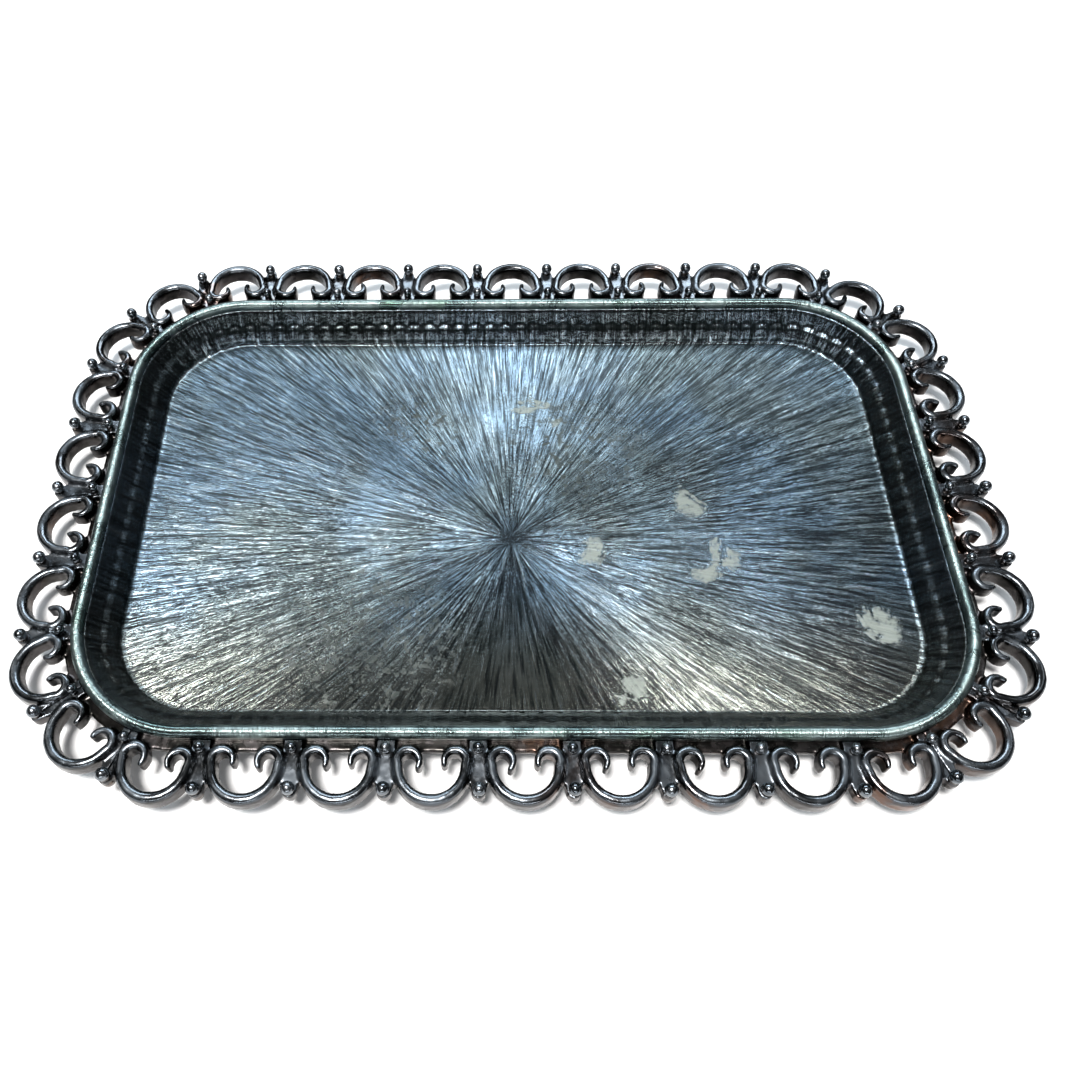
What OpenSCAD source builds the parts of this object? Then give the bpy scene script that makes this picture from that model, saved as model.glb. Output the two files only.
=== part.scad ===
// Dresser vanity tray: a sheet-metal pan with a flared wall, a moulding on its lip,
// and a cast openwork border of C-scrolls with ball-headed beads between them.
// Millimetres, +Z up. The origin is under the tray's middle, on the surface it stands on.

/* [Border outline] */
// Length of the ring that the outer beads stand on
ring_l = 270; // [262:1:280]
// Width of the ring that the outer beads stand on
ring_w = 175; // [168:1:182]
// Corner radius of that ring
ring_r = 47.5; // [45:0.5:50]

/* [Scrolls] */
// Distance between scrolls along a side; the corners take what is left
side_pitch = 23.4; // [22.8:0.1:23.6]
// Scrolls along the front, and along the back
scrolls_long = 9; // [9:1:9]
// Scrolls along each end
scrolls_short = 6; // [6:1:6]
// Outer radius of a scroll's arch
arch_r = 10.1; // [9.8:0.1:10.3]
// How far an arch stands out past the bead ring
arch_reach = 4.4; // [3.8:0.1:5]
// Outer radius of the two curled ends of a scroll
curl_r = 4.2; // [4:0.1:4.5]
// Width of a scroll's bar, seen from above
bar_w = 2.8; // [2.4:0.1:3.2]

/* [Heights] */
// Height of the scrolls' underside above the table
border_z = 6.9; // [6:0.1:8]
// Height of a scroll's bar
bar_h = 5.5; // [4.5:0.1:6]
// Height of the low webs between scrolls
web_h = 3.5; // [3:0.1:4]

/* [Beads] */
// Radius of an outer bead
outer_bead_r = 1.8; // [1.5:0.1:2]
// Radius of an inner bead
inner_bead_r = 1.45; // [1.2:0.05:1.5]
// Distance of the inner beads inside the outer beads
bead_rows = 10.3; // [9.8:0.1:10.8]

/* [Pan] */
// Distance of the rim's outer edge inside the bead ring
rim_inset = 12.9; // [12.5:0.1:13.3]
// Width of the rim moulding
rim_w = 3.4; // [3:0.1:4]
// Height of the rim moulding
rim_h = 2.6; // [2.4:0.1:3]
// Height of the lip that the moulding is soldered to
lip_z = 9; // [8.5:0.1:9.4]
// Horizontal run of the flared wall, from moulding to floor
wall_run = 7; // [6:0.1:8]
// Thickness of the pan's metal
sheet = 1.4; // [1.2:0.1:1.8]

/* [Hidden] */
$fn = 64;

// Places of the corner arcs' centres
half_l = ring_l / 2 - ring_r;
half_w = ring_w / 2 - ring_r;
// Length once round the bead ring, and to its first quarter, the middle of the right end
perimeter = 4 * half_l + 4 * half_w + 2 * PI * ring_r;
quarter = perimeter / 4;
corner_pitch = quarter - side_pitch * (scrolls_long + scrolls_short) / 2;
corner_middle = side_pitch * scrolls_long / 2 + corner_pitch / 2;

// Radii about the corner centres
rim_r = ring_r - rim_inset;
lip_r = rim_r - rim_w;
floor_r = lip_r - wall_run;
lip_top = lip_z + sheet;

// A scroll's own frame: +X along the border, +Y towards the pan, zero on the bead ring
arch_y = arch_r - arch_reach;
neck = 1.2;
curl_x = arch_r - curl_r;
curl_y = arch_y + neck;
web_w = 4.4;
bead_lift = 0.4;
// The rail reaches from under the pan's lip to a little way under the curls
rail_outer_r = ring_r - curl_y - curl_r + 0.7;
rail_inner_r = lip_r + 0.2;
rail_h = lip_z - border_z;

silver = [0.56, 0.58, 0.6];
dark_silver = [0.42, 0.42, 0.42];
bright_silver = [0.72, 0.73, 0.74];

// Place on the bead ring at a distance to the right of the front's middle: [x, y, turn]
function ring_at(s) =
    s < 0 ? let (q = ring_at(-s)) [-q.x, q.y, -q.z] :
    s > quarter ? let (q = ring_at(perimeter / 2 - s)) [q.x, -q.y, 180 - q.z] :
    s <= half_l ? [s, -ring_w / 2, 0] :
    s >= quarter - half_w ? [ring_l / 2, s - quarter, 90] :
    let (turn = (s - half_l) / ring_r * 180 / PI)
        [half_l + ring_r * sin(turn), -half_w - ring_r * cos(turn), turn];

// Point at that place, moved outwards
function ring_point(s, out) =
    let (q = ring_at(s)) [q.x + out * sin(q.z), q.y - out * cos(q.z)];

// Places of all beads: between neighbouring scrolls
quarter_beads = concat(
    [for (i = [0 : (scrolls_long - 1) / 2]) (i + 0.5) * side_pitch],
    [for (i = [1 : scrolls_short / 2]) quarter - i * side_pitch]);
bead_places = concat(
    [for (s = quarter_beads) each [s, -s, perimeter / 2 - s, perimeter / 2 + s]],
    [quarter, -quarter]);

// Puts children at a place on the bead ring, turned to face outwards along -Y
module on_ring(s) {
    q = ring_at(s);
    translate([q.x, q.y, 0]) rotate([0, 0, q.z]) children();
}

// Rounded rectangle at a radius about the corner centres
module outline(r) {
    square([2 * half_l, 2 * (half_w + r)], center = true);
    square([2 * (half_l + r), 2 * half_w], center = true);
    for (x = [-half_l, half_l], y = [-half_w, half_w]) translate([x, y]) circle(r);
}

// Sweeps a profile round the tray: X is the radius about the corner centres, Y the height
module round_tray() {
    for (k = [0 : 3]) {
        away = k % 2 == 0 ? half_l : half_w;
        along = k % 2 == 0 ? half_w : half_l;
        rotate([0, 0, 90 * k]) {
            translate([away, along, 0]) rotate([90, 0, 0]) linear_extrude(2 * along) children();
            translate([away, along, 0]) rotate_extrude(angle = 90) children();
        }
    }
}

// Half of a ring, on the side where Y is positive
module half_ring(r, w) {
    intersection() {
        difference() {
            circle(r);
            circle(r - w);
        }
        translate([-r, 0]) square([2 * r, r]);
    }
}

// Plan of one C-scroll: an arch that faces outwards and two ends curled in towards its middle
module scroll_plan() {
    translate([0, arch_y]) mirror([0, 1]) half_ring(arch_r, bar_w);
    for (side = [-1, 1]) {
        translate([side * (arch_r - bar_w / 2), arch_y + neck / 2])
            square([bar_w, neck], center = true);
        translate([side * curl_x, curl_y]) half_ring(curl_r, bar_w);
        translate([side * (curl_x - curl_r + bar_w / 2), curl_y]) circle(bar_w / 2);
    }
}

// Plan of the web between two scrolls, from the rim out to the outer bead
module web_plan() {
    circle(outer_bead_r);
    translate([-web_w / 2, 0.5]) square([web_w, rim_inset - 0.5]);
}

// Plan of the stretch of border between two places on the ring
module sector(s0, s1) {
    steps = 18;
    polygon(concat(
        [for (i = [0 : steps]) ring_point(s0 + (s1 - s0) * i / steps, arch_reach + 2)],
        [for (i = [steps : -1 : 0]) ring_point(s0 + (s1 - s0) * i / steps, -rim_inset - 4)]));
}

// One casting of the border: scrolls in a row about a middle place, with the webs between
// them and a rail that is soldered under the pan's lip
module gallery(middle, count, pitch) {
    start = middle - count / 2 * pitch;
    end = middle + count / 2 * pitch;
    translate([0, 0, border_z]) {
        linear_extrude(bar_h)
            for (i = [0 : count - 1]) on_ring(start + (i + 0.5) * pitch) scroll_plan();
        linear_extrude(web_h) intersection() {
            sector(start, end);
            difference() {
                for (i = [0 : count]) on_ring(start + i * pitch) web_plan();
                outline(rim_r);
            }
        }
        linear_extrude(rail_h) intersection() {
            sector(start, end);
            difference() {
                outline(rail_outer_r);
                outline(rail_inner_r);
            }
        }
    }
}

// Bead: a ball on a short stem that stands on the web
module bead(r) {
    stem_h = bar_h - web_h + bead_lift;
    translate([0, 0, border_z + web_h]) {
        cylinder(r = 0.75 * r, h = stem_h);
        translate([0, 0, stem_h]) sphere(r);
    }
}

module pan() {
    color(silver) {
        linear_extrude(sheet) outline(floor_r);
        round_tray() polygon([
            [floor_r - 1, 0], [floor_r, 0], [lip_r, lip_z], [rim_r, lip_z],
            [rim_r, lip_top], [lip_r - 0.9, lip_top], [floor_r - 0.9, sheet], [floor_r - 1, sheet]]);
    }
}

module rim_moulding() {
    color(bright_silver) round_tray() translate([lip_r, lip_top]) {
        square([rim_w, rim_h - rim_w / 2]);
        translate([rim_w / 2, rim_h - rim_w / 2]) intersection() {
            circle(rim_w / 2);
            translate([-rim_w / 2, 0]) square([rim_w, rim_w / 2]);
        }
    }
}

module front_gallery() {
    color(dark_silver) gallery(0, scrolls_long, side_pitch);
}

module back_gallery() {
    color(dark_silver) gallery(perimeter / 2, scrolls_long, side_pitch);
}

module left_gallery() {
    color(dark_silver) gallery(-quarter, scrolls_short, side_pitch);
}

module right_gallery() {
    color(dark_silver) gallery(quarter, scrolls_short, side_pitch);
}

module front_left_corner() {
    color(dark_silver) gallery(-corner_middle, 1, corner_pitch);
}

module front_right_corner() {
    color(dark_silver) gallery(corner_middle, 1, corner_pitch);
}

module back_left_corner() {
    color(dark_silver) gallery(perimeter / 2 + corner_middle, 1, corner_pitch);
}

module back_right_corner() {
    color(dark_silver) gallery(perimeter / 2 - corner_middle, 1, corner_pitch);
}

module outer_beads() {
    color(bright_silver) for (s = bead_places) on_ring(s) bead(outer_bead_r);
}

module inner_beads() {
    color(bright_silver) for (s = bead_places) on_ring(s) translate([0, bead_rows, 0]) bead(inner_bead_r);
}

pan();
rim_moulding();
front_gallery();
back_gallery();
left_gallery();
right_gallery();
front_left_corner();
front_right_corner();
back_left_corner();
back_right_corner();
outer_beads();
inner_beads();
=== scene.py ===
"""Visual model of a tarnished silver-plated vanity tray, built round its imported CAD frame.

Everything is in metres. The pan carries a sunburst of fine creases and a row of small flutes
at the foot of its wall, the rim carries cross lines, and the border is one row of C-scrolls,
cast in eight strips, with a large and a small bead between each two scrolls.
"""

import math

import bpy
import numpy as np
from mathutils import Matrix, Vector, noise


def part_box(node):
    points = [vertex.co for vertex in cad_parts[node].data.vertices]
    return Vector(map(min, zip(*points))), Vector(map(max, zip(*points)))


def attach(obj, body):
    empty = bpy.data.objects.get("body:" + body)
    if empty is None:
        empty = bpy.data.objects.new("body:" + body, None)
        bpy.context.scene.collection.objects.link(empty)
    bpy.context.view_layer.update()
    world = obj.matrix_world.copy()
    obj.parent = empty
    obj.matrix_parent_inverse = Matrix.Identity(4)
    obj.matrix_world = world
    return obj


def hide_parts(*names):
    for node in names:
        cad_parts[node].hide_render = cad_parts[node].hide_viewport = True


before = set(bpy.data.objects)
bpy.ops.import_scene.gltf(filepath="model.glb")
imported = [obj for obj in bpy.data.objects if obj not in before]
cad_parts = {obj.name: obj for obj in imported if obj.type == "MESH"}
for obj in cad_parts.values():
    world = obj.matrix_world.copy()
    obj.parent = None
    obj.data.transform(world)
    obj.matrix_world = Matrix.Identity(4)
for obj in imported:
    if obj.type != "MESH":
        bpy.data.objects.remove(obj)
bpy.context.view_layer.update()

MM = 0.001

# ---------------------------------------------------------------- sizes from the frame
outer_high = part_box("outer_beads")[1]
inner_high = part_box("inner_beads")[1]
pan_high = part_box("pan")[1]
rim_low, rim_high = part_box("rim_moulding")
gallery_low, gallery_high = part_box("front_gallery")

OUTER_BEAD_R = 1.8 * MM
INNER_BEAD_R = 1.45 * MM
RING_HALF_L = outer_high.x - OUTER_BEAD_R
RING_HALF_W = outer_high.y - OUTER_BEAD_R
RING_R = 47.5 * MM
HALF_L = RING_HALF_L - RING_R
HALF_W = RING_HALF_W - RING_R
PERIMETER = 4 * HALF_L + 4 * HALF_W + 2 * math.pi * RING_R
QUARTER = PERIMETER / 4

# Radii about the centres of the corner arcs
RIM_R = rim_high.x - HALF_L
RIM_WIDTH = 3.4 * MM
LIP_R = RIM_R - RIM_WIDTH
WALL_RUN = 7 * MM
FLOOR_R = LIP_R - WALL_RUN
SHEET = 1.4 * MM

BORDER_Z = gallery_low.z
CREST_Z = gallery_high.z
WEB_H = 3.9 * MM
RAIL_H = 2.1 * MM
BEAD_Z = outer_high.z - OUTER_BEAD_R
BEAD_ROWS = outer_high.x - OUTER_BEAD_R - (inner_high.x - INNER_BEAD_R)

# Scrolls: counts along a long and a short side, spacing, and the shape of one
SCROLLS_LONG = 9
SCROLLS_SHORT = 6
SIDE_PITCH = 23.4 * MM
CORNER_PITCH = QUARTER - SIDE_PITCH * (SCROLLS_LONG + SCROLLS_SHORT) / 2
CORNER_MIDDLE = SIDE_PITCH * SCROLLS_LONG / 2 + CORNER_PITCH / 2
ARCH_R = 10.1 * MM
ARCH_Y = ARCH_R - (-gallery_low.y - RING_HALF_W) + 0.4 * MM
CURL_R = 4.2 * MM
BAR_W = 2.7 * MM
ARCH_BAR_W = 3.3 * MM
TIP_W = 1.5 * MM
CURL_Y = ARCH_Y + 1.2 * MM

# The creases meet a little in front of the middle
SUNBURST = Vector((-2 * MM, -11 * MM))
FLUTES_PER_SCROLL = 4
SCROLLS = 2 * (SCROLLS_LONG + SCROLLS_SHORT) + 4
FLUTES = FLUTES_PER_SCROLL * SCROLLS

# Depths of the relief, the grid on which castings are fused, and their clearance in the frame
CREASE_DEPTH = 0.2 * MM
WALL_CREASE_DEPTH = 0.16 * MM
FLUTE_DEPTH = 0.85 * MM
CROSS_LINE_DEPTH = 0.11 * MM
VOXEL = 0.4 * MM
CLEARANCE = 0.05 * MM
WEB_HALF_W = 2.3 * MM

# Corrosion on the pan's floor: x, y and radius of the main pale and dark areas
PALE_SPOTS = [
    (0.021, -0.015, 0.009),
    (0.056, -0.018, 0.016),
    (0.052, 0.002, 0.010),
    (0.099, -0.040, 0.013),
    (0.029, -0.058, 0.009),
    (0.008, 0.035, 0.016),
]
DARK_SPOTS = [(-0.043, -0.043, 0.035), (0.02, 0.02, 0.03), (-0.03, 0.03, 0.02)]


# ---------------------------------------------------------------- places round the tray
def ring_at(s):
    """Place on the bead ring at distance s to the right of the front's middle: x, y, turn."""
    if s < 0:
        x, y, turn = ring_at(-s)
        return -x, y, -turn
    if s > QUARTER + 1e-9:
        x, y, turn = ring_at(PERIMETER / 2 - s)
        return x, -y, math.pi - turn
    if s <= HALF_L:
        return s, -RING_HALF_W, 0.0
    if s >= QUARTER - HALF_W:
        return RING_HALF_L, s - QUARTER, math.pi / 2
    turn = (s - HALF_L) / RING_R
    return HALF_L + RING_R * math.sin(turn), -HALF_W - RING_R * math.cos(turn), turn


def on_ring(s):
    """Matrix of a frame on the ring: +X along the border, +Y towards the pan."""
    x, y, turn = ring_at(s)
    return Matrix.Translation((x, y, 0)) @ Matrix.Rotation(turn, 4, "Z")


def spokes(count, radius):
    """Start points and outward directions of lines spaced evenly round the outline of a radius."""
    arc = math.pi / 2 * radius
    runs = [(HALF_L, 0), (arc, 1), (2 * HALF_W, 0), (arc, 1), (2 * HALF_L, 0)]
    runs += [(arc, 1), (2 * HALF_W, 0), (arc, 1), (HALF_L, 0)]
    total = sum(length for length, _ in runs)
    starts = np.zeros((count, 2))
    angles = np.zeros(count)
    for i in range(count):
        left = (i + 0.5) / count * total
        x, y, heading = 0.0, -HALF_W, 0.0
        for length, turning in runs:
            step = min(left, length)
            if turning:
                heading += step / radius
            else:
                x += step * math.cos(heading)
                y += step * math.sin(heading)
            left -= step
            if left <= 0:
                break
        starts[i] = x, y
        angles[i] = heading - math.pi / 2
    return starts, np.stack([np.cos(angles), np.sin(angles)], 1)


def periodic_noise(rng, t, v, cells_t, cells_v):
    """Smooth value noise from 0 to 1 over t, which wraps at 1, and v, from 0 to 1."""
    grid = rng.random((cells_t, cells_v + 2))
    a = (t % 1.0) * cells_t
    b = np.clip(v, 0, 1) * cells_v
    ia = np.floor(a).astype(int)
    ib = np.floor(b).astype(int)
    fa = a - ia
    fb = b - ib
    fa = fa * fa * (3 - 2 * fa)
    fb = fb * fb * (3 - 2 * fb)
    ia0 = ia % cells_t
    ia1 = (ia + 1) % cells_t
    low = grid[ia0, ib] * (1 - fa) + grid[ia1, ib] * fa
    high = grid[ia0, ib + 1] * (1 - fa) + grid[ia1, ib + 1] * fa
    return low * (1 - fb) + high * fb


# ---------------------------------------------------------------- meshes
def new_object(name, vertices, faces, smooth=True):
    """Links a new mesh object to the scene."""
    mesh = bpy.data.meshes.new(name)
    mesh.from_pydata([tuple(v) for v in vertices], [], faces)
    mesh.update()
    if smooth:
        mesh.polygons.foreach_set("use_smooth", [True] * len(mesh.polygons))
    obj = bpy.data.objects.new(name, mesh)
    bpy.context.scene.collection.objects.link(obj)
    return obj


def loft(rings):
    """Vertices and faces of rings of equally many points, joined in order, with both ends capped."""
    count = len(rings[0])
    vertices = [tuple(p) for ring in rings for p in ring]
    faces = []
    for i in range(len(rings) - 1):
        for j in range(count):
            k = (j + 1) % count
            faces.append((i * count + j, i * count + k, (i + 1) * count + k, (i + 1) * count + j))
    faces.append(tuple(reversed(range(count))))
    last = (len(rings) - 1) * count
    faces.append(tuple(last + j for j in range(count)))
    return vertices, faces


def joined(shells):
    """One list of vertices and one of faces from several."""
    vertices = []
    faces = []
    for part_vertices, part_faces in shells:
        base = len(vertices)
        vertices += part_vertices
        faces += [tuple(base + i for i in face) for face in part_faces]
    return vertices, faces


def wrapped_grid(count, rows):
    """Quads between rows of a closed strip of count points each."""
    i = np.arange(count)
    k = (i + 1) % count
    quads = [
        np.stack([a * count + i, a * count + k, (a + 1) * count + k, (a + 1) * count + i], 1)
        for a in range(rows - 1)
    ]
    return np.concatenate(quads)


# ---------------------------------------------------------------- pan
def surface_rng(surface):
    """A generator that gives the same numbers each time, so that rows of one surface agree."""
    return np.random.default_rng(100 + surface)


def crease_height(rng, t, v, once_round):
    """Height from 0 to 1 of irregular creases that run out from the sunburst's middle.

    t is the place round the tray, v the share of the way out, and once_round the distance in
    metres once round the tray there."""
    height = np.zeros_like(t)
    weight = np.zeros_like(t)
    wander = (periodic_noise(rng, t, v, 60, 6) - 0.5) * 0.004
    for cells, length in ((60, 5), (120, 6), (240, 8), (480, 10), (816, 12)):
        gap = once_round / cells
        share = np.exp(-((np.log2(gap / (1.9 * MM))) ** 2) / 0.9)
        wave = periodic_noise(rng, t + wander, v, cells, length)
        ridge = 1 - np.abs(2 * wave - 1)
        height += share * (0.65 * ridge + 0.35 * wave)
        weight += share
    return height / np.maximum(weight, 1e-6)


def make_pan():
    """The whole pan as one closed shell: creased floor, fluted wall, lip and plain underside."""
    rng = np.random.default_rng(7)
    per_flute = 12
    count = FLUTES * per_flute
    starts, outward = spokes(count, FLOOR_R + WALL_RUN / 2)
    t = (np.arange(count) + 0.5) / count
    loop = 4 * (HALF_L + HALF_W) + 2 * math.pi * FLOOR_R
    middle = np.array([SUNBURST.x, SUNBURST.y])
    edge = starts + FLOOR_R * outward
    reach = np.linalg.norm(edge - middle, axis=1)
    rows = []
    paths = []

    # Floor, out from a small hub
    for share in list(np.linspace(0.015, 0.965, 34) ** 0.85) + [0.985, 0.996]:
        flat = middle + share * (edge - middle)
        ridge = crease_height(surface_rng(0), t, np.full(count, share), loop * share)
        fade = min(1.0, share / 0.12) * (1 - 0.5 * max(0.0, share - 0.94) / 0.06)
        z = SHEET + (ridge - 0.5) * CREASE_DEPTH * fade
        rows.append(np.column_stack([flat, z]))
        paths.append(reach * share)

    # Scalloped bead in the crease between floor and wall
    phase = (t * FLUTES) % 1.0
    lobe = np.sqrt(np.clip(1 - (2 * phase - 1) ** 2, 0, 1))
    for share, lift in ((0.9975, 0.28), (1.0, 0.42)):
        flat = middle + share * (edge - middle)
        rows.append(np.column_stack([flat, SHEET + lift * MM * (0.35 + 0.65 * lobe)]))
        paths.append(reach * share)

    # Wall: flutes on its lower half, fading into creases above
    wall_top = pan_high.z
    slope = math.hypot(WALL_RUN, wall_top - SHEET)
    normal_out = (wall_top - SHEET) / slope
    normal_up = WALL_RUN / slope
    strength = 0.6 + 0.4 * periodic_noise(rng, t, np.zeros(count), 17, 1)
    for share in (0.06, 0.12, 0.2, 0.29, 0.38, 0.46, 0.53, 0.6, 0.68, 0.78, 0.88, 0.96):
        foot_fade = np.clip(share / 0.12, 0, 1)
        crown = foot_fade * np.clip((0.56 + 0.1 * (lobe - 1) - share) / 0.1, 0, 1)
        ridge = crease_height(surface_rng(1), t, np.full(count, share), loop)
        inward = FLUTE_DEPTH * lobe * crown * strength + (ridge - 0.5) * WALL_CREASE_DEPTH
        radius = FLOOR_R + WALL_RUN * share - inward * normal_out
        z = SHEET + (wall_top - SHEET) * share + inward * normal_up
        rows.append(np.column_stack([starts + radius[:, None] * outward, z]))
        paths.append(reach + slope * share)

    # Lip under the moulding, then the outside of the wall and the underside
    outside = [
        (LIP_R + 0.1 * MM, wall_top),
        (RIM_R - 0.3 * MM, wall_top),
        (RIM_R, wall_top - 0.3 * MM),
        (RIM_R, wall_top - SHEET + 0.2 * MM),
        (RIM_R - 0.3 * MM, wall_top - SHEET),
        (LIP_R + 0.4 * MM, wall_top - SHEET),
        (LIP_R, wall_top - SHEET - 0.3 * MM),
        (FLOOR_R + 0.7 * MM, 0.7 * MM),
        (FLOOR_R - 0.1 * MM, 0.1 * MM),
        (FLOOR_R - 0.9 * MM, 0.0),
    ]
    last = reach + slope
    for radius, z in outside:
        rows.append(np.column_stack([starts + radius * outward, np.full(count, z)]))
        last = last + 1 * MM
        paths.append(last)

    vertices = np.concatenate(rows)
    quads = wrapped_grid(count, len(rows))
    hub = len(vertices)
    vertices = np.vstack([vertices, [middle[0], middle[1], SHEET], [0, 0, 0]])
    faces = [tuple(q) for q in quads.tolist()]
    under = (len(rows) - 1) * count
    for i in range(count):
        k = (i + 1) % count
        faces.append((hub, k, i))
        faces.append((hub + 1, under + i, under + k))
    pan = new_object("pan_shell", vertices, [tuple(reversed(f)) for f in faces])
    spread = np.tile(turns(t), (len(rows), 1))
    path = np.concatenate(paths)
    values = np.vstack([np.column_stack([spread, path]), [0, 0, 0], [0, 0, 1]])
    add_vector_attribute(pan, "way", values)
    return pan


def turns(t):
    """Points on a unit circle, so that noise read there joins up once round the tray."""
    return np.column_stack([np.cos(2 * np.pi * t), np.sin(2 * np.pi * t)])


def add_vector_attribute(obj, name, values):
    """Stores one vector for each vertex, which the materials read by name."""
    layer = obj.data.attributes.new(name, "FLOAT_VECTOR", "POINT")
    layer.data.foreach_set("vector", np.asarray(values, dtype=np.float32).ravel())


# ---------------------------------------------------------------- rim
def make_rim():
    """The moulding on the lip: a rounded band with fine cross lines."""
    rng = np.random.default_rng(11)
    per_line = 3
    count = FLUTES * 8 * per_line
    starts, outward = spokes(count, RIM_R - RIM_WIDTH / 2)
    t = (np.arange(count) + 0.5) / count
    half = RIM_WIDTH / 2
    height = rim_high.z - rim_low.z
    shoulder = height - half
    profile = [(0.0, 0.0), (-half, 0.0)]
    for angle in np.linspace(math.pi, 0, 11):
        profile.append((half * math.cos(angle), shoulder + half * math.sin(angle)))
    profile.append((half, 0.0))
    line = rng.random(count // per_line)
    groove = np.repeat(0.4 + 0.6 * line, per_line) * np.tile([1.0, 0.35, 0.0], count // per_line)
    patch = 0.6 + 0.8 * periodic_noise(np.random.default_rng(12), t, np.zeros(count), 90, 1)
    rows = []
    paths = []
    for index, (across, up) in enumerate(profile):
        top = max(0.0, (up - shoulder) / half)
        cut = groove * CROSS_LINE_DEPTH * min(1.0, top * 2.2)
        cut = cut * patch
        pull = 1 - cut / half
        if top > 0:
            radius = RIM_R - half + across * pull
            z = rim_low.z + shoulder + (up - shoulder) * pull
        else:
            radius = np.full(count, RIM_R - half + across)
            z = np.full(count, rim_low.z + up)
        rows.append(np.column_stack([starts + radius[:, None] * outward, z]))
        paths.append(np.full(count, index * 0.5 * MM))
    vertices = np.concatenate(rows)
    quads = wrapped_grid(count, len(rows) + 1) % (count * len(rows))
    rim = new_object("rim_band", vertices, [tuple(reversed(q)) for q in quads.tolist()])
    spread = np.tile(turns(t), (len(rows), 1))
    add_vector_attribute(rim, "way", np.column_stack([spread, np.concatenate(paths)]))
    return rim


# ---------------------------------------------------------------- border
def bar_ring(centre, along, half_w, low, high):
    """Cross-section of a scroll's bar: upright sides, a flat foot and a rounded crest."""
    side = Vector((along.y, -along.x, 0))
    round_h = min(half_w, 0.45 * (high - low))
    points = [(-half_w * 1.04, low), (half_w * 1.04, low)]
    for angle in np.linspace(0, math.pi, 9):
        points.append((half_w * 0.96 * math.cos(angle), high - round_h + round_h * math.sin(angle)))
    return [centre + side * n + Vector((0, 0, z)) for n, z in points]


def scroll_path(rng):
    """Centre line of one scroll in its own frame, as points."""
    arch = ARCH_R - ARCH_BAR_W / 2
    curl = CURL_R - BAR_W / 2
    curl_x = ARCH_R - CURL_R
    past_left, past_right = np.radians(rng.uniform(8, 42, 2))
    points = []
    for angle in np.linspace(-past_left, math.pi, 22):
        points.append(Vector((-curl_x + curl * math.cos(angle), CURL_Y + curl * math.sin(angle), 0)))
    for angle in np.linspace(math.pi, 2 * math.pi, 40):
        points.append(Vector((arch * math.cos(angle), ARCH_Y + arch * math.sin(angle), 0)))
    for angle in np.linspace(0, math.pi + past_right, 22):
        points.append(Vector((curl_x + curl * math.cos(angle), CURL_Y + curl * math.sin(angle), 0)))
    return points


def scroll_shell(rng, place):
    """Closed shell of one scroll's bar, swept along its path and set at its place."""
    points = scroll_path(rng)
    lengths = [0.0]
    for a, b in zip(points, points[1:]):
        lengths.append(lengths[-1] + (b - a).length)
    total = lengths[-1]
    rings = []
    low = BORDER_Z + CLEARANCE
    high = CREST_Z - CLEARANCE
    taper = 6.5 * MM
    heft = rng.uniform(0.94, 1.0)
    for i, point in enumerate(points):
        before = points[max(i - 1, 0)]
        after = points[min(i + 1, len(points) - 1)]
        along = (after - before).normalized()
        left = min(lengths[i], total - lengths[i])
        slim = min(1.0, left / taper)
        arch = math.sin(math.pi * lengths[i] / total) ** 6
        half_w = (TIP_W + (BAR_W - TIP_W) * slim + (ARCH_BAR_W - BAR_W) * arch) / 2 * heft
        crest = high - 0.5 * MM * (1 - slim) ** 2
        rings.append((point, along, half_w, crest))
    tip_steps = [0.97, 0.85, 0.6, 0.28]
    start, end = rings[0], rings[-1]
    head = []
    tail = []
    for step in tip_steps:
        offset = math.sqrt(1 - step * step)
        for source, sign, store in ((start, -1, head), (end, 1, tail)):
            point, along, half_w, crest = source
            moved = point + along * (sign * half_w * offset)
            store.append((moved, along, half_w * step, crest - half_w * (1 - step) * 0.8))
    sections = list(reversed(head)) + rings + tail
    shell = [bar_ring(p, a, w, low, c) for p, a, w, c in sections]
    vertices, faces = loft(shell)
    return [tuple(place @ Vector(v)) for v in vertices], faces


def web_shell(s, from_x, to_x):
    """Low web between two scrolls, from the rim to the outer bead, cut off at two values of x."""
    place = on_ring(s)
    outline = []
    outer_end = OUTER_BEAD_R * 0.98
    shoulder_y = 2.5 * MM
    inner_y = RING_R - RIM_R
    for angle in np.linspace(math.pi, 2 * math.pi, 13):
        outline.append((outer_end * math.cos(angle), outer_end * math.sin(angle)))
    outline += [(WEB_HALF_W, shoulder_y), (WEB_HALF_W, inner_y)]
    outline += [(-WEB_HALF_W, inner_y), (-WEB_HALF_W, shoulder_y)]
    outline = [(min(max(x, from_x), to_x), y) for x, y in outline]
    low = BORDER_Z + CLEARANCE
    high = BORDER_Z + WEB_H
    rings = [[place @ Vector((x, y, z)) for x, y in outline] for z in (low, high)]
    return loft(rings)


def rail_shell(start, end):
    """Rail inside the scrolls, soldered under the pan's lip."""
    steps = max(4, int((end - start) / (2 * MM)))
    low = BORDER_Z + CLEARANCE
    high = BORDER_Z + RAIL_H - 0.02 * MM
    inner = RING_R - LIP_R - 0.4 * MM
    outer = CURL_Y + CURL_R - 1.2 * MM
    rings = []
    for i in range(steps + 1):
        place = on_ring(start + (end - start) * i / steps)
        corners = ((inner, low), (outer, low), (outer, high), (inner, high))
        rings.append([place @ Vector((0, y, z)) for y, z in corners])
    return loft(rings)


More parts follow.
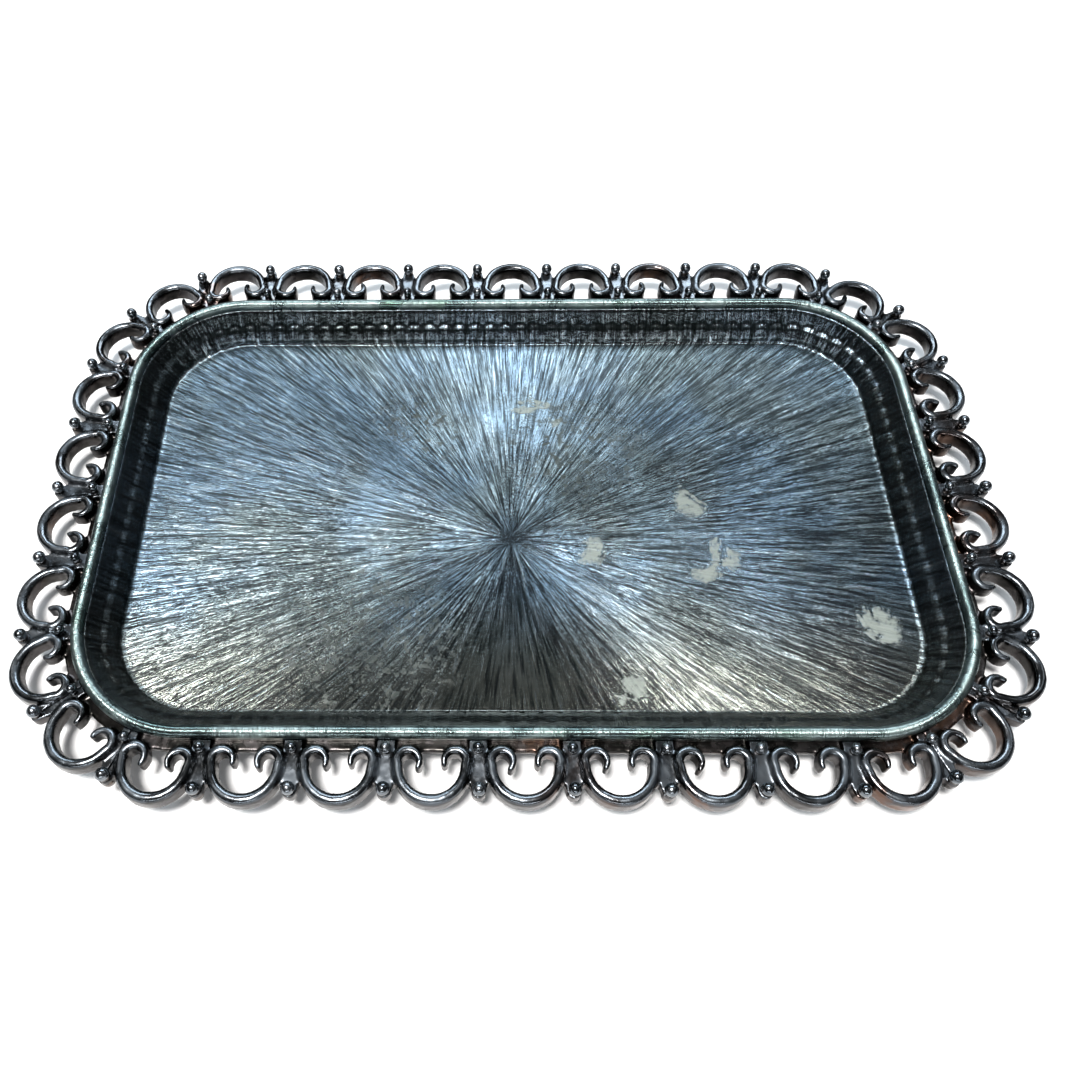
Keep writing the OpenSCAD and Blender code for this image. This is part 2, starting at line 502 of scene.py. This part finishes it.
def make_gallery(name, middle, count, pitch, seed):
    """One casting of the border, its bars, webs and rail fused into one skin."""
    rng = np.random.default_rng(seed)
    start = middle - count / 2 * pitch
    end = middle + count / 2 * pitch
    shells = [rail_shell(start, end)]
    for i in range(count):
        shells.append(scroll_shell(rng, on_ring(start + (i + 0.5) * pitch)))
    wide = 4 * MM
    for i in range(count + 1):
        from_x = 0.0 if i == 0 else -wide
        to_x = 0.0 if i == count else wide
        shells.append(web_shell(start + i * pitch, from_x, to_x))
    obj = new_object(name, *joined(shells))
    return cast(obj, seed)


def cast(obj, seed):
    """Fuses overlapping shells into one skin, rounds it as a casting is, and roughens it."""
    fuse = obj.modifiers.new("fuse", "REMESH")
    fuse.mode = "VOXEL"
    fuse.voxel_size = VOXEL
    fuse.use_smooth_shade = True
    soften = obj.modifiers.new("soften", "SMOOTH")
    soften.factor = 0.5
    soften.iterations = 3
    depsgraph = bpy.context.evaluated_depsgraph_get()
    mesh = bpy.data.meshes.new_from_object(obj.evaluated_get(depsgraph))
    obj.modifiers.clear()
    obj.data = mesh
    points = np.zeros(len(mesh.vertices) * 3)
    normals = np.zeros(len(mesh.vertices) * 3)
    mesh.vertices.foreach_get("co", points)
    mesh.vertex_normals.foreach_get("vector", normals)
    points = points.reshape(-1, 3)
    normals = normals.reshape(-1, 3)
    shift = Vector((seed * 3.7, 0, 0))
    places = [Vector(point) for point in points]
    wave = np.array([noise.noise(place / (1.6 * MM) + shift) for place in places])
    fine = np.array([noise.noise(place / (0.7 * MM) - shift) for place in places])
    points += normals * ((wave * 0.05 + fine * 0.025) * MM)[:, None]
    points[:, 2] = np.clip(points[:, 2], BORDER_Z, CREST_Z)
    mesh.vertices.foreach_set("co", points.ravel())
    mesh.update()
    return obj


# ---------------------------------------------------------------- beads
def bead_places():
    """Places on the ring between each two scrolls."""
    quarter = [(i + 0.5) * SIDE_PITCH for i in range((SCROLLS_LONG + 1) // 2)]
    quarter += [QUARTER - i * SIDE_PITCH for i in range(1, SCROLLS_SHORT // 2 + 1)]
    places = []
    for s in quarter:
        places += [s, -s, PERIMETER / 2 - s, PERIMETER / 2 + s]
    return places + [QUARTER, -QUARTER]


def make_beads(name, radius, inset, foot, seed):
    """Balls on stems that widen towards the web, each a little different."""
    rng = np.random.default_rng(seed)
    foot_z = BORDER_Z + foot
    stem_top = BEAD_Z - radius * 0.72
    profile = [
        (radius * 0.95, foot_z),
        (radius * 1.0, foot_z + 0.3 * (stem_top - foot_z)),
        (radius * 0.82, foot_z + 0.85 * (stem_top - foot_z)),
    ]
    for angle in np.linspace(-0.78, 1.35, 9):
        profile.append((radius * math.cos(angle), BEAD_Z + radius * math.sin(angle)))
    profile.append((radius * 0.08, BEAD_Z + radius * 0.997))
    shells = []
    sides = 20
    for s in bead_places():
        x, y = rng.uniform(-0.12, 0.12, 2) * MM
        swell = rng.uniform(0.93, 0.99)
        squash = rng.uniform(0.94, 0.985)
        place = on_ring(s) @ Matrix.Translation((x, inset + y, 0))
        rings = []
        for r, z in profile:
            if z > BEAD_Z:
                z = BEAD_Z + (z - BEAD_Z) * squash
            circle = []
            for k in range(sides):
                angle = 2 * math.pi * k / sides
                wobble = 1 + 0.025 * math.sin(2 * angle + s * 900)
                reach = r * swell * wobble
                circle.append(place @ Vector((reach * math.cos(angle), reach * math.sin(angle), z)))
            rings.append(circle)
        shells.append(loft(rings))
    return new_object(name, *joined(shells))


# ---------------------------------------------------------------- materials
class Shader:
    """A node material in the making: short calls that add one node each and return its output."""

    def __init__(self, name):
        self.material = bpy.data.materials.new(name)
        self.material.use_nodes = True
        self.tree = self.material.node_tree
        self.surface = self.tree.nodes["Principled BSDF"]

    def node(self, kind, inputs=None, **settings):
        made = self.tree.nodes.new(kind)
        for key, value in settings.items():
            setattr(made, key, value)
        for key, value in (inputs or {}).items():
            self.put(made.inputs[key], value)
        return made

    def put(self, socket, value):
        if isinstance(value, bpy.types.NodeSocket):
            self.tree.links.new(value, socket)
        else:
            socket.default_value = value

    def math(self, operation, a, b):
        made = self.node("ShaderNodeMath", {0: a, 1: b}, operation=operation)
        return made.outputs[0]

    def scaled(self, vector, factors):
        made = self.node("ShaderNodeVectorMath", {0: vector, 1: factors}, operation="MULTIPLY")
        return made.outputs[0]

    def noise(self, vector, scale, detail=3.0, roughness=0.55, distortion=0.0):
        made = self.node(
            "ShaderNodeTexNoise",
            {
                "Vector": vector,
                "Scale": scale,
                "Detail": detail,
                "Roughness": roughness,
                "Distortion": distortion,
            },
        )
        return made.outputs["Fac"]

    def ramp(self, value, low, high, to_low=0.0, to_high=1.0, smooth=True):
        made = self.node(
            "ShaderNodeMapRange",
            {"Value": value, "From Min": low, "From Max": high, "To Min": to_low, "To Max": to_high},
            interpolation_type="SMOOTHSTEP" if smooth else "LINEAR",
        )
        return made.outputs[0]

    def mix(self, factor, a, b):
        made = self.node("ShaderNodeMix", data_type="RGBA")
        self.put(made.inputs[0], factor)
        for socket, value in ((made.inputs[6], a), (made.inputs[7], b)):
            if isinstance(value, tuple):
                value = (*value, 1.0)
            self.put(socket, value)
        return made.outputs[2]

    def blend(self, factor, a, b):
        """Number between a and b."""
        made = self.node("ShaderNodeMix", data_type="FLOAT")
        for index, value in ((0, factor), (2, a), (3, b)):
            self.put(made.inputs[index], value)
        return made.outputs[0]

    def bump(self, height, distance, strength=1.0, normal=None):
        made = self.node(
            "ShaderNodeBump", {"Height": height, "Distance": distance, "Strength": strength}
        )
        if normal is not None:
            self.put(made.inputs["Normal"], normal)
        return made.outputs[0]

    def object_place(self):
        return self.node("ShaderNodeTexCoord").outputs["Object"]

    def finish(self, color, metallic, roughness, normal):
        self.put(self.surface.inputs["Base Color"], color)
        self.put(self.surface.inputs["Metallic"], metallic)
        self.put(self.surface.inputs["Roughness"], roughness)
        self.put(self.surface.inputs["Normal"], normal)
        return self.material


def crease_bump(shader, way):
    """Height of the fine creases, from noise drawn out along the way from the middle.

    Fewer fit round the tray near the middle, in three steps, so they don't crowd together there."""
    path = shader.node("ShaderNodeSeparateXYZ", {0: way}).outputs["Z"]
    total = None
    for coarse, detail, weight in ((1.0, 3.0, 1.0), (2.6, 2.0, 0.55)):
        bands = []
        for around in (22.0, 52.0, 115.0):
            stretched = shader.scaled(way, (around * coarse, around * coarse, 75.0))
            bands.append(shader.noise(stretched, 1.0, detail, 0.62))
        near = shader.ramp(path, 14 * MM, 26 * MM)
        far = shader.ramp(path, 36 * MM, 58 * MM)
        mixed = shader.blend(near, bands[0], bands[1])
        mixed = shader.blend(far, mixed, bands[2])
        part = shader.math("MULTIPLY", mixed, weight)
        total = part if total is None else shader.math("ADD", total, part)
    return total


def patches(shader, place, spots):
    """Soft spots from 0 to 1 at places given as x, y and radius in metres."""
    total = None
    for x, y, radius in spots:
        away = shader.node("ShaderNodeVectorMath", {0: place, 1: (x, y, SHEET)}, operation="DISTANCE")
        spot = shader.ramp(away.outputs["Value"], 0.25 * radius, radius, 1.0, 0.0)
        total = spot if total is None else shader.math("MAXIMUM", total, spot)
    return total


def pan_material():
    """Dark blue-grey plate with fine creases, pale crusts, dark pits and a plain underside."""
    shader = Shader("pan_plate")
    place = shader.object_place()
    way = shader.node("ShaderNodeAttribute", attribute_name="way").outputs["Vector"]
    split = shader.node("ShaderNodeSeparateXYZ", {0: place})
    height = split.outputs["Z"]

    creases = crease_bump(shader, way)
    grain = shader.noise(place, 1100.0, 3.0, 0.65)

    # Corrosion: pale crusts in a few places, dark pits in others
    blotch = shader.noise(place, 70.0, 4.0, 0.65, 0.6)
    crumbs = shader.noise(place, 420.0, 4.0, 0.7)
    crusted = patches(shader, place, PALE_SPOTS)
    crusted = shader.math("MULTIPLY", crusted, shader.ramp(blotch, 0.4, 0.56))
    crust = shader.ramp(shader.math("MULTIPLY", crusted, crumbs), 0.26, 0.52)
    dark_spots = patches(shader, place, DARK_SPOTS)
    pit_zone = shader.math("MAXIMUM", dark_spots, shader.ramp(blotch, 0.6, 0.8, 0.0, 0.5))
    pits = shader.math("MULTIPLY", shader.ramp(crumbs, 0.54, 0.62), pit_zone)

    tint = shader.noise(place, 22.0, 3.0, 0.6, 0.5)
    steel = shader.mix(shader.ramp(tint, 0.35, 0.65), (0.10, 0.12, 0.124), (0.112, 0.152, 0.188))
    # Painted reflection: the front of the floor is painted warmer and lighter.
    front_reflection = shader.ramp(split.outputs["Y"], -58 * MM, -25 * MM, 1.0, 0.0)
    steel = shader.mix(front_reflection, steel, (0.14, 0.148, 0.135))
    # Painted shade: the low parts of the creases are painted nearly black.
    crease_shade = shader.ramp(creases, 0.64, 0.84)
    steel = shader.mix(crease_shade, shader.mix(0.85, steel, (0.012, 0.016, 0.018)), steel)
    # Painted highlight: the tops of the creases are painted lighter.
    crest = shader.ramp(creases, 0.84, 1.0)
    steel = shader.mix(crest, steel, (0.19, 0.22, 0.235))
    color = shader.mix(shader.math("MULTIPLY", crust, 0.75), steel, (0.24, 0.27, 0.24))
    color = shader.mix(shader.math("MULTIPLY", pits, 0.85), color, (0.02, 0.028, 0.024))
    # Painted shade: the wall and everything above the floor are painted darker.
    wall = shader.ramp(height, SHEET + 0.9 * MM, SHEET + 1.6 * MM)
    color = shader.mix(shader.math("MULTIPLY", wall, 0.25), color, (0.05, 0.055, 0.055))

    dull = shader.math("MAXIMUM", crust, pits)
    metallic = shader.ramp(dull, 0.0, 1.0, 1.0, 0.3, smooth=False)
    rough = shader.ramp(tint, 0.3, 0.7, 0.16, 0.21)
    rough = shader.math("ADD", rough, shader.math("MULTIPLY", dull, 0.3))

    normal = shader.bump(creases, 0.32 * MM, 1.0)
    normal = shader.bump(grain, 0.07 * MM, 1.0, normal)
    normal = shader.bump(crust, 0.08 * MM, 0.7, normal)
    under = shader.ramp(height, 0.0, 0.3 * MM)
    color = shader.mix(under, (0.18, 0.18, 0.17), color)
    return shader.finish(color, metallic, rough, normal)


def rim_material():
    """Greenish grey plate with a fine cross hatch."""
    shader = Shader("rim_plate")
    place = shader.object_place()
    way = shader.node("ShaderNodeAttribute", attribute_name="way").outputs["Vector"]
    hatch = shader.noise(shader.scaled(way, (420.0, 420.0, 200.0)), 1.0, 2.0, 0.6)
    blotch = shader.noise(place, 60.0, 4.0, 0.6, 0.4)
    color = shader.mix(shader.ramp(blotch, 0.35, 0.65), (0.10, 0.14, 0.14), (0.33, 0.41, 0.40))
    green = shader.ramp(shader.noise(place, 33.0, 3.0, 0.6), 0.58, 0.72)
    color = shader.mix(green, color, (0.16, 0.24, 0.2))
    rough = shader.ramp(blotch, 0.3, 0.7, 0.2, 0.38)
    normal = shader.bump(hatch, 0.3 * MM, 0.9)
    return shader.finish(color, 1.0, rough, normal)


def gallery_material():
    """Dark plate, brown and coppery down the sides and in recesses; high upward faces painted lighter
    silver, partly rubbed wear and partly painted light from above.
    """
    shader = Shader("gallery_plate")
    place = shader.object_place()
    split = shader.node("ShaderNodeSeparateXYZ", {0: place})
    facing = shader.node(
        "ShaderNodeSeparateXYZ", {0: shader.node("ShaderNodeNewGeometry").outputs["Normal"]}
    )
    lift = shader.ramp(split.outputs["Z"], BORDER_Z, CREST_Z)
    upward = shader.ramp(facing.outputs["Z"], 0.1, 0.8)
    cloud = shader.noise(place, 120.0, 4.0, 0.6, 0.3)
    broad = shader.noise(place, 26.0, 2.0, 0.5)
    # High, upward-facing faces are painted lighter silver: partly rubbed wear, partly painted light
    # from above.
    wear_and_top_light = shader.math("MULTIPLY", shader.ramp(lift, 0.35, 0.95), upward)
    wear_and_top_light = shader.math("MULTIPLY", wear_and_top_light, shader.ramp(cloud, 0.36, 0.56, 0.35, 1.0))
    brown = shader.mix(shader.ramp(broad, 0.52, 0.68), (0.03, 0.028, 0.026), (0.11, 0.06, 0.04))
    brown = shader.mix(shader.ramp(cloud, 0.42, 0.62), brown, (0.055, 0.05, 0.05))
    color = shader.mix(wear_and_top_light, brown, (0.12, 0.135, 0.15))
    rough = shader.ramp(cloud, 0.3, 0.7, 0.16, 0.34)
    grain = shader.noise(place, 900.0, 3.0, 0.6)
    normal = shader.bump(grain, 0.06 * MM, 0.5)
    return shader.finish(color, 1.0, rough, normal)


def bead_material():
    """Dark plate, painted lighter towards the top of each bead: painted light from above."""
    shader = Shader("bead_plate")
    place = shader.object_place()
    split = shader.node("ShaderNodeSeparateXYZ", {0: place})
    # Painted light from above: the upper part of each bead is painted lighter.
    lift = shader.ramp(split.outputs["Z"], BEAD_Z - 2.2 * MM, BEAD_Z)
    cloud = shader.noise(place, 170.0, 3.0, 0.6)
    dark = shader.mix(shader.ramp(cloud, 0.4, 0.6), (0.03, 0.027, 0.025), (0.09, 0.065, 0.05))
    lit_top_color = shader.mix(shader.ramp(cloud, 0.4, 0.6), (0.08, 0.09, 0.10), (0.19, 0.205, 0.22))
    color = shader.mix(lift, dark, lit_top_color)
    rough = shader.ramp(cloud, 0.3, 0.7, 0.14, 0.3)
    normal = shader.bump(shader.noise(place, 700.0, 2.0, 0.5), 0.05 * MM, 0.4)
    return shader.finish(color, 1.0, rough, normal)


# ---------------------------------------------------------------- assembly
def place_piece(obj, material, slot, *nodes):
    """Gives a piece its material, hides the frame parts it stands for and sets it on its body; the
    slot is not used.
    """
    obj.data.materials.clear()
    obj.data.materials.append(material)
    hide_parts(*nodes)
    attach(obj, "root")


def build_tray():
    """Makes the twelve pieces, one for each node of the frame."""
    place_piece(make_pan(), pan_material(), "pan_plate", "pan")
    place_piece(make_rim(), rim_material(), "rim_plate", "rim_moulding")
    plate = gallery_material()
    half_way = PERIMETER / 2
    strips = [
        ("front_gallery", 0, SCROLLS_LONG, SIDE_PITCH),
        ("back_gallery", half_way, SCROLLS_LONG, SIDE_PITCH),
        ("left_gallery", -QUARTER, SCROLLS_SHORT, SIDE_PITCH),
        ("right_gallery", QUARTER, SCROLLS_SHORT, SIDE_PITCH),
        ("front_left_corner", -CORNER_MIDDLE, 1, CORNER_PITCH),
        ("front_right_corner", CORNER_MIDDLE, 1, CORNER_PITCH),
        ("back_left_corner", half_way + CORNER_MIDDLE, 1, CORNER_PITCH),
        ("back_right_corner", half_way - CORNER_MIDDLE, 1, CORNER_PITCH),
    ]
    for seed, (node, middle, count, pitch) in enumerate(strips, 21):
        piece = make_gallery(node + "_cast", middle, count, pitch, seed)
        place_piece(piece, plate, "gallery_plate", node)
    bead_plate = bead_material()
    outer = make_beads("outer_bead_row", OUTER_BEAD_R, 0.0, 0.1 * MM, 41)
    place_piece(outer, bead_plate, "bead_plate", "outer_beads")
    inner = make_beads("inner_bead_row", INNER_BEAD_R, BEAD_ROWS, 1.5 * MM, 42)
    place_piece(inner, bead_plate, "bead_plate", "inner_beads")


# ---------------------------------------------------------------- stage, light and camera
def make_floor():
    """Plain pale floor under the tray."""
    reach = 3.0
    corners = [(-reach, -reach, 0), (reach, -reach, 0), (reach, reach, 0), (-reach, reach, 0)]
    floor = new_object("studio_floor", corners, [(0, 1, 2, 3)], smooth=False)
    material = bpy.data.materials.new("studio_floor")
    material.use_nodes = True
    surface = material.node_tree.nodes["Principled BSDF"]
    surface.inputs["Base Color"].default_value = (0.86, 0.86, 0.86, 1)
    surface.inputs["Roughness"].default_value = 0.8
    floor.data.materials.append(material)


def area_light(name, place, target, size, power, color=(1, 1, 1)):
    data = bpy.data.lights.new(name, "AREA")
    data.shape = "RECTANGLE"
    data.size, data.size_y = size
    data.energy = power
    data.color = color
    lamp = bpy.data.objects.new(name, data)
    lamp.location = place
    aim = Vector(target) - Vector(place)
    lamp.rotation_mode = "QUATERNION"
    lamp.rotation_quaternion = aim.to_track_quat("-Z", "Y")
    bpy.context.scene.collection.objects.link(lamp)


def make_lights():
    """Dim surroundings, a band of light behind, soft light overhead and strips at three sides."""
    world = bpy.data.worlds.new("studio")
    world.use_nodes = True
    tree = world.node_tree
    background = tree.nodes["Background"]
    coordinates = tree.nodes.new("ShaderNodeTexCoord")
    direction = tree.nodes.new("ShaderNodeSeparateXYZ")
    tree.links.new(coordinates.outputs["Generated"], direction.inputs[0])
    overhead = tree.nodes.new("ShaderNodeMapRange")
    overhead.interpolation_type = "SMOOTHSTEP"
    for name, value in (("From Min", 0.6), ("From Max", 1.0), ("To Min", 0.06), ("To Max", 0.2)):
        overhead.inputs[name].default_value = value
    tree.links.new(direction.outputs["Z"], overhead.inputs["Value"])
    tree.links.new(overhead.outputs[0], background.inputs["Strength"])
    background.inputs["Color"].default_value = (0.93, 0.97, 1.0, 1)
    bpy.context.scene.world = world
    area_light("back_softbox", (0, 0.94, 0.98), (0, 0.04, 0), (1.15, 0.24), 14, (0.82, 0.92, 1))
    area_light("top_softbox", (-0.25, -0.25, 1.4), (0, 0, 0), (0.35, 0.35), 34, (1, 0.98, 0.96))
    area_light("front_strip", (0, -1.2, 0.45), (0, 0, 0), (1.1, 0.1), 5, (0.95, 0.97, 1))
    area_light("left_strip", (-0.9, 0.35, 0.9), (0, 0, 0), (0.12, 0.5), 0.8, (1, 0.97, 0.93))
    area_light("right_strip", (0.9, 0.3, 0.9), (0, 0, 0), (0.12, 0.5), 0.8, (0.9, 0.95, 1))


def make_camera():
    """Camera in front of the tray and above it, looking down at it."""
    focal_px = 980
    frame_px = 1080
    data = bpy.data.cameras.new("camera")
    data.sensor_width = 36
    data.lens = focal_px / frame_px * data.sensor_width
    data.shift_x = 0.074
    data.shift_y = -0.0417
    data.clip_start = 0.01
    data.clip_end = 20
    camera = bpy.data.objects.new("camera", data)
    tilt, roll, yaw = (math.radians(a) for a in (32.16, -1.54, 1.73))
    turn = Matrix.Rotation(yaw, 4, "Z") @ Matrix.Rotation(tilt, 4, "X") @ Matrix.Rotation(roll, 4, "Z")
    camera.matrix_world = Matrix.Translation((-0.0123, -0.154, 0.2532)) @ turn
    bpy.context.scene.collection.objects.link(camera)
    bpy.context.scene.camera = camera


build_tray()
make_floor()
make_lights()
make_camera()
bpy.context.scene.view_settings.view_transform = "Standard"
